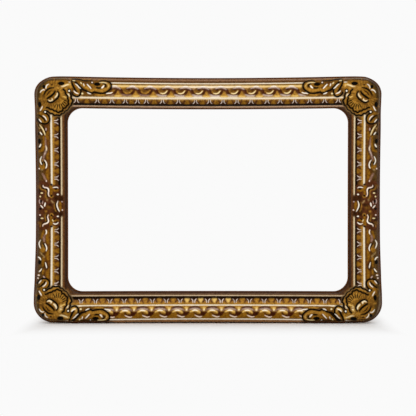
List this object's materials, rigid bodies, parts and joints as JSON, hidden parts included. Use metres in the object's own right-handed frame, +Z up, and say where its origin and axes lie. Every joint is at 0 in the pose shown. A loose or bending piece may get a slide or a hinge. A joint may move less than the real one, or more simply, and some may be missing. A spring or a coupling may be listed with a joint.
{
  "type": "inflatable photo frame prop",
  "caption": "Inflatable picture frame to pose behind: two welded films blown up into a round tube about a wide opening, printed in front as a gilt carved moulding, with a push-in valve behind.",
  "frame": {"origin": "on the floor, under the middle of the frame, in the plane of the weld seams", "axes": "+X along the frame's width, +Y from the printed front to the back, +Z up"},
  "size_m": [0.7988, 0.08, 0.5674],
  "materials": {
    "printed_film": "glossy PVC film printed with a gilt moulding",
    "plain_film": "glossy PVC film in one old gold colour",
    "weld_rim": "fused double film with a fine pressed rib",
    "valve_plastic": "soft milky PVC, satin"
  },
  "bodies": {
    "frame": {"front_film": "printed_film", "rear_film": "plain_film", "outer_weld_rim": "weld_rim", "inner_weld_rim": "weld_rim", "valve_base_ring": "valve_plastic", "valve_web": "valve_plastic"},
    "valve": {"valve_stem": "valve_plastic", "stopper_strap": "valve_plastic"},
    "stopper": {"stopper": "valve_plastic"},
    "flap": {"check_flap": "valve_plastic"}
  },
  "joints": [
    {"name": "valve_pull", "type": "slide", "parent": "frame", "child": "valve", "axis": [0, 1, 0], "range_m": [0, 0.012], "deforming": ["valve_web"]},
    {"name": "stopper_pull", "type": "slide", "parent": "valve", "child": "stopper", "axis": [0, 1, 0], "range_m": [0, 0.008], "deforming": ["stopper_strap"]},
    {"name": "flap_open", "type": "hinge", "parent": "valve", "child": "flap", "pos_m": [0.35899, 0.02549, 0.1856], "axis": [-1, 0, 0], "range_deg": [0, 60]}
  ]
}
